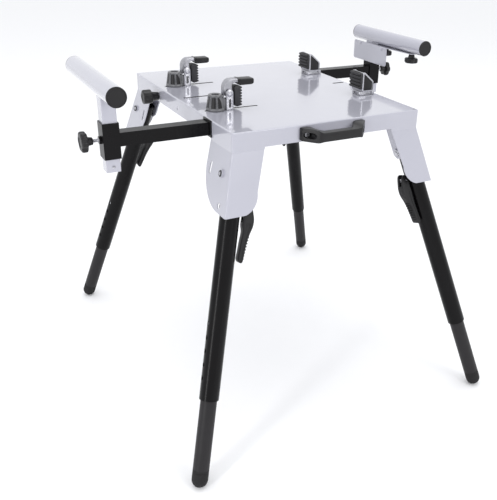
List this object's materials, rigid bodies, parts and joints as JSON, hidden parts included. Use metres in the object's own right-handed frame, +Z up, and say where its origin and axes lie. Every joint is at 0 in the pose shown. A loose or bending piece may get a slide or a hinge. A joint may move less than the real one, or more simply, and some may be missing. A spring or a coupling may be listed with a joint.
{
  "type": "mitre saw stand",
  "caption": "Folding stand for a mitre saw: pressed table on splayed telescopic folding legs, with sliding work supports, cam clamps and jaws.",
  "frame": {"origin": "on the floor, under the centre of the table", "axes": "+X to the right as seen from the carry handle, +Y to the rear, +Z up"},
  "size_m": [1.0724, 1.0134, 0.8742],
  "materials": {
    "light_paint": "gloss powder coat, light lilac grey",
    "black_paint": "semi-gloss black powder coat",
    "black_plastic": "fine-textured moulded black",
    "foot_rubber": "matt black moulded",
    "pad_rubber": "matt black ribbed",
    "bright_steel": "bright zinc plate",
    "clamp_silver": "fine cast, silver",
    "clamp_casting": "dark grey casting",
    "jaw_casting": "mid grey casting"
  },
  "bodies": {
    "table": {"table_top": "light_paint", "leg_inner_plates": "light_paint", "leg_pivot_bolts": "bright_steel", "carry_handle": "black_plastic", "carry_handle_bolts": "bright_steel", "arm_collars": "black_plastic", "arm_guides": "bright_steel"},
    "front_left_leg": {"front_left_leg_tube": "black_paint"},
    "front_left_extension": {"front_left_leg_extension": "black_paint", "front_left_foot": "foot_rubber"},
    "front_left_button": {"front_left_height_button": "bright_steel"},
    "front_left_lock": {"front_left_lock_pin": "bright_steel"},
    "front_left_lever": {"front_left_release_lever": "black_plastic"},
    "front_right_leg": {"front_right_leg_tube": "black_paint"},
    "front_right_extension": {"front_right_leg_extension": "black_paint", "front_right_foot": "foot_rubber"},
    "front_right_button": {"front_right_height_button": "bright_steel"},
    "front_right_lock": {"front_right_lock_pin": "bright_steel"},
    "front_right_lever": {"front_right_release_lever": "black_plastic"},
    "rear_left_leg": {"rear_left_leg_tube": "black_paint"},
    "rear_left_extension": {"rear_left_leg_extension": "black_paint", "rear_left_foot": "foot_rubber"},
    "rear_left_button": {"rear_left_height_button": "bright_steel"},
    "rear_left_lock": {"rear_left_lock_pin": "bright_steel"},
    "rear_left_lever": {"rear_left_release_lever": "black_plastic"},
    "rear_right_leg": {"rear_right_leg_tube": "black_paint"},
    "rear_right_extension": {"rear_right_leg_extension": "black_paint", "rear_right_foot": "foot_rubber"},
    "rear_right_button": {"rear_right_height_button": "bright_steel"},
    "rear_right_lock": {"rear_right_lock_pin": "bright_steel"},
    "rear_right_lever": {"rear_right_release_lever": "black_plastic"},
    "left_arm": {"left_support_arm": "black_paint"},
    "left_post": {"left_support_post": "light_paint", "left_support_bar": "light_paint", "left_bar_caps": "black_plastic"},
    "left_post_knob": {"left_post_knob": "black_plastic"},
    "left_arm_lock": {"left_arm_lock_knob": "black_plastic"},
    "right_arm": {"right_support_arm": "black_paint"},
    "right_post": {"right_support_post": "light_paint", "right_support_bar": "light_paint", "right_bar_caps": "black_plastic"},
    "right_post_knob": {"right_post_knob": "black_plastic"},
    "right_arm_lock": {"right_arm_lock_knob": "black_plastic"},
    "stop_plate": {"stop_plate": "light_paint"},
    "stop_near_knob": {"stop_near_knob": "black_plastic"},
    "stop_far_knob": {"stop_far_knob": "black_plastic"},
    "rear_clamp": {"rear_clamp_base": "clamp_casting", "rear_clamp_steelwork": "bright_steel"},
    "rear_clamp_lever": {"rear_clamp_lever": "clamp_silver", "rear_clamp_grip": "black_plastic"},
    "rear_clamp_pad": {"rear_clamp_pad": "pad_rubber"},
    "rear_jaw": {"rear_jaw_body": "jaw_casting", "rear_jaw_pad": "pad_rubber"},
    "front_clamp": {"front_clamp_base": "clamp_casting", "front_clamp_steelwork": "bright_steel"},
    "front_clamp_lever": {"front_clamp_lever": "clamp_silver", "front_clamp_grip": "black_plastic"},
    "front_clamp_pad": {"front_clamp_pad": "pad_rubber"},
    "front_jaw": {"front_jaw_body": "jaw_casting", "front_jaw_pad": "pad_rubber"}
  },
  "joints": [
    {"name": "front_left_leg_fold", "type": "hinge", "parent": "table", "child": "front_left_leg", "pos_m": [-0.2365, -0.303, 0.665], "axis": [0.9637, -0.1447, -0.2246], "range_deg": [0, 109.56]},
    {"name": "front_left_extension_slide", "type": "slide", "parent": "front_left_leg", "child": "front_left_extension", "axis": [-0.2565, -0.2658, -0.9293], "range_m": [0, 0.124]},
    {"name": "front_left_button_press", "type": "slide", "parent": "front_left_extension", "child": "front_left_button", "axis": [0.9637, -0.1447, -0.2246], "range_m": [0, 0.003], "stiffness_N_per_m": 400, "springref_m": -0.001},
    {"name": "front_left_lock_pin_slide", "type": "slide", "parent": "front_left_leg", "child": "front_left_lock", "axis": [0.9637, -0.1447, -0.2246], "range_m": [0, 0.0072]},
    {"name": "front_left_lever_swing", "type": "hinge", "parent": "front_left_lock", "child": "front_left_lever", "pos_m": [-0.21809, -0.32737, 0.59049], "axis": [-0.0748, -0.9531, 0.2932], "range_deg": [0, 35], "stiffness_Nm_per_rad": 0.35, "springref_deg": -20.05},
    {"name": "front_right_leg_fold", "type": "hinge", "parent": "table", "child": "front_right_leg", "pos_m": [0.2365, -0.303, 0.665], "axis": [0.9594, 0.187, 0.2113], "range_deg": [0, 98.54]},
    {"name": "front_right_extension_slide", "type": "slide", "parent": "front_right_leg", "child": "front_right_extension", "axis": [0.2565, -0.2658, -0.9293], "range_m": [0, 0.124]},
    {"name": "front_right_button_press", "type": "slide", "parent": "front_right_extension", "child": "front_right_button", "axis": [-0.9594, -0.187, -0.2113], "range_m": [0, 0.003], "stiffness_N_per_m": 400, "springref_m": -0.001},
    {"name": "front_right_lock_pin_slide", "type": "slide", "parent": "front_right_leg", "child": "front_right_lock", "axis": [-0.9594, -0.187, -0.2113], "range_m": [0, 0.0072]},
    {"name": "front_right_lever_swing", "type": "hinge", "parent": "front_right_lock", "child": "front_right_lever", "pos_m": [0.21825, -0.32898, 0.59099], "axis": [-0.1176, 0.9457, -0.3029], "range_deg": [0, 35], "stiffness_Nm_per_rad": 0.35, "springref_deg": -20.05},
    {"name": "rear_left_leg_fold", "type": "hinge", "parent": "table", "child": "rear_left_leg", "pos_m": [-0.2365, 0.303, 0.665], "axis": [-0.9594, -0.187, 0.2113], "range_deg": [0, 98.54]},
    {"name": "rear_left_extension_slide", "type": "slide", "parent": "rear_left_leg", "child": "rear_left_extension", "axis": [-0.2565, 0.2658, -0.9293], "range_m": [0, 0.124]},
    {"name": "rear_left_button_press", "type": "slide", "parent": "rear_left_extension", "child": "rear_left_button", "axis": [0.9594, 0.187, -0.2113], "range_m": [0, 0.003], "stiffness_N_per_m": 400, "springref_m": -0.001},
    {"name": "rear_left_lock_pin_slide", "type": "slide", "parent": "rear_left_leg", "child": "rear_left_lock", "axis": [0.9594, 0.187, -0.2113], "range_m": [0, 0.0072]},
    {"name": "rear_left_lever_swing", "type": "hinge", "parent": "rear_left_lock", "child": "rear_left_lever", "pos_m": [-0.21825, 0.32898, 0.59099], "axis": [0.1176, -0.9457, -0.3029], "range_deg": [0, 35], "stiffness_Nm_per_rad": 0.35, "springref_deg": -20.05},
    {"name": "rear_right_leg_fold", "type": "hinge", "parent": "table", "child": "rear_right_leg", "pos_m": [0.2365, 0.303, 0.665], "axis": [-0.9637, 0.1447, -0.2246], "range_deg": [0, 109.56]},
    {"name": "rear_right_extension_slide", "type": "slide", "parent": "rear_right_leg", "child": "rear_right_extension", "axis": [0.2565, 0.2658, -0.9293], "range_m": [0, 0.124]},
    {"name": "rear_right_button_press", "type": "slide", "parent": "rear_right_extension", "child": "rear_right_button", "axis": [-0.9637, 0.1447, -0.2246], "range_m": [0, 0.003], "stiffness_N_per_m": 400, "springref_m": -0.001},
    {"name": "rear_right_lock_pin_slide", "type": "slide", "parent": "rear_right_leg", "child": "rear_right_lock", "axis": [-0.9637, 0.1447, -0.2246], "range_m": [0, 0.0072]},
    {"name": "rear_right_lever_swing", "type": "hinge", "parent": "rear_right_lock", "child": "rear_right_lever", "pos_m": [0.21809, 0.32737, 0.59049], "axis": [0.0748, 0.9531, 0.2932], "range_deg": [0, 35], "stiffness_Nm_per_rad": 0.35, "springref_deg": -20.05},
    {"name": "left_arm_slide", "type": "slide", "parent": "table", "child": "left_arm", "axis": [-1, 0, 0], "range_m": [-0.188, 0.15]},
    {"name": "left_post_slide", "type": "slide", "parent": "left_arm", "child": "left_post", "axis": [0, 0, 1], "range_m": [-0.045, 0.06]},
    {"name": "left_post_knob_turn", "type": "hinge", "parent": "left_arm", "child": "left_post_knob", "pos_m": [-0.51, -0.194, 0.7465], "axis": [-1, 0, 0], "range_deg": [0, 300]},
    {"name": "left_arm_lock_turn", "type": "hinge", "parent": "table", "child": "left_arm_lock", "pos_m": [-0.1375, -0.194, 0.71], "axis": [0, 0, -1], "range_deg": [0, 300]},
    {"name": "right_arm_slide", "type": "slide", "parent": "table", "child": "right_arm", "axis": [1, 0, 0], "range_m": [-0.188, 0.15]},
    {"name": "right_post_slide", "type": "slide", "parent": "right_arm", "child": "right_post", "axis": [0, 0, 1], "range_m": [-0.012, 0.06]},
    {"name": "right_post_knob_turn", "type": "hinge", "parent": "right_arm", "child": "right_post_knob", "pos_m": [0.51, 0.194, 0.7465], "axis": [1, 0, 0], "range_deg": [0, 300]},
    {"name": "right_arm_lock_turn", "type": "hinge", "parent": "table", "child": "right_arm_lock", "pos_m": [-0.26, 0.137, 0.742], "axis": [-1, 0, 0], "range_deg": [0, 300]},
    {"name": "stop_plate_slide", "type": "slide", "parent": "right_post", "child": "stop_plate", "axis": [-1, 0, 0], "range_m": [0, 0.012]},
    {"name": "stop_near_knob_turn", "type": "hinge", "parent": "right_post", "child": "stop_near_knob", "pos_m": [0.4744, 0, 0.81], "axis": [0, 0, -1], "range_deg": [0, 300]},
    {"name": "stop_far_knob_turn", "type": "hinge", "parent": "right_post", "child": "stop_far_knob", "pos_m": [0.4744, 0.126, 0.81], "axis": [0, 0, -1], "range_deg": [0, 300]},
    {"name": "rear_clamp_slide", "type": "slide", "parent": "table", "child": "rear_clamp", "axis": [1, 0, 0], "range_m": [-0.02, 0.104]},
    {"name": "rear_clamp_lever_lift", "type": "hinge", "parent": "rear_clamp", "child": "rear_clamp_lever", "pos_m": [-0.175, 0.134, 0.806], "axis": [0, -1, 0], "range_deg": [0, 55]},
    {"name": "rear_clamp_pad_slide", "type": "slide", "parent": "rear_clamp", "child": "rear_clamp_pad", "axis": [-1, 0, 0], "range_m": [0, 0.0055]},
    {"name": "rear_jaw_slide", "type": "slide", "parent": "table", "child": "rear_jaw", "axis": [1, 0, 0], "range_m": [-0.006, 0.02]},
    {"name": "front_clamp_slide", "type": "slide", "parent": "table", "child": "front_clamp", "axis": [1, 0, 0], "range_m": [-0.02, 0.104]},
    {"name": "front_clamp_lever_lift", "type": "hinge", "parent": "front_clamp", "child": "front_clamp_lever", "pos_m": [-0.175, -0.134, 0.806], "axis": [0, -1, 0], "range_deg": [0, 55]},
    {"name": "front_clamp_pad_slide", "type": "slide", "parent": "front_clamp", "child": "front_clamp_pad", "axis": [-1, 0, 0], "range_m": [0, 0.0055]},
    {"name": "front_jaw_slide", "type": "slide", "parent": "table", "child": "front_jaw", "axis": [1, 0, 0], "range_m": [-0.006, 0.02]}
  ],
  "couplings": [
    {"joint": "front_left_lock_pin_slide", "follows": "front_left_lever_swing", "m_per_rad": 0.011459},
    {"joint": "front_right_lock_pin_slide", "follows": "front_right_lever_swing", "m_per_rad": 0.011459},
    {"joint": "rear_left_lock_pin_slide", "follows": "rear_left_lever_swing", "m_per_rad": 0.011459},
    {"joint": "rear_right_lock_pin_slide", "follows": "rear_right_lever_swing", "m_per_rad": 0.011459},
    {"joint": "rear_clamp_pad_slide", "follows": "rear_clamp_lever_lift", "m_per_rad": 0.005209},
    {"joint": "front_clamp_pad_slide", "follows": "front_clamp_lever_lift", "m_per_rad": 0.005209}
  ]
}
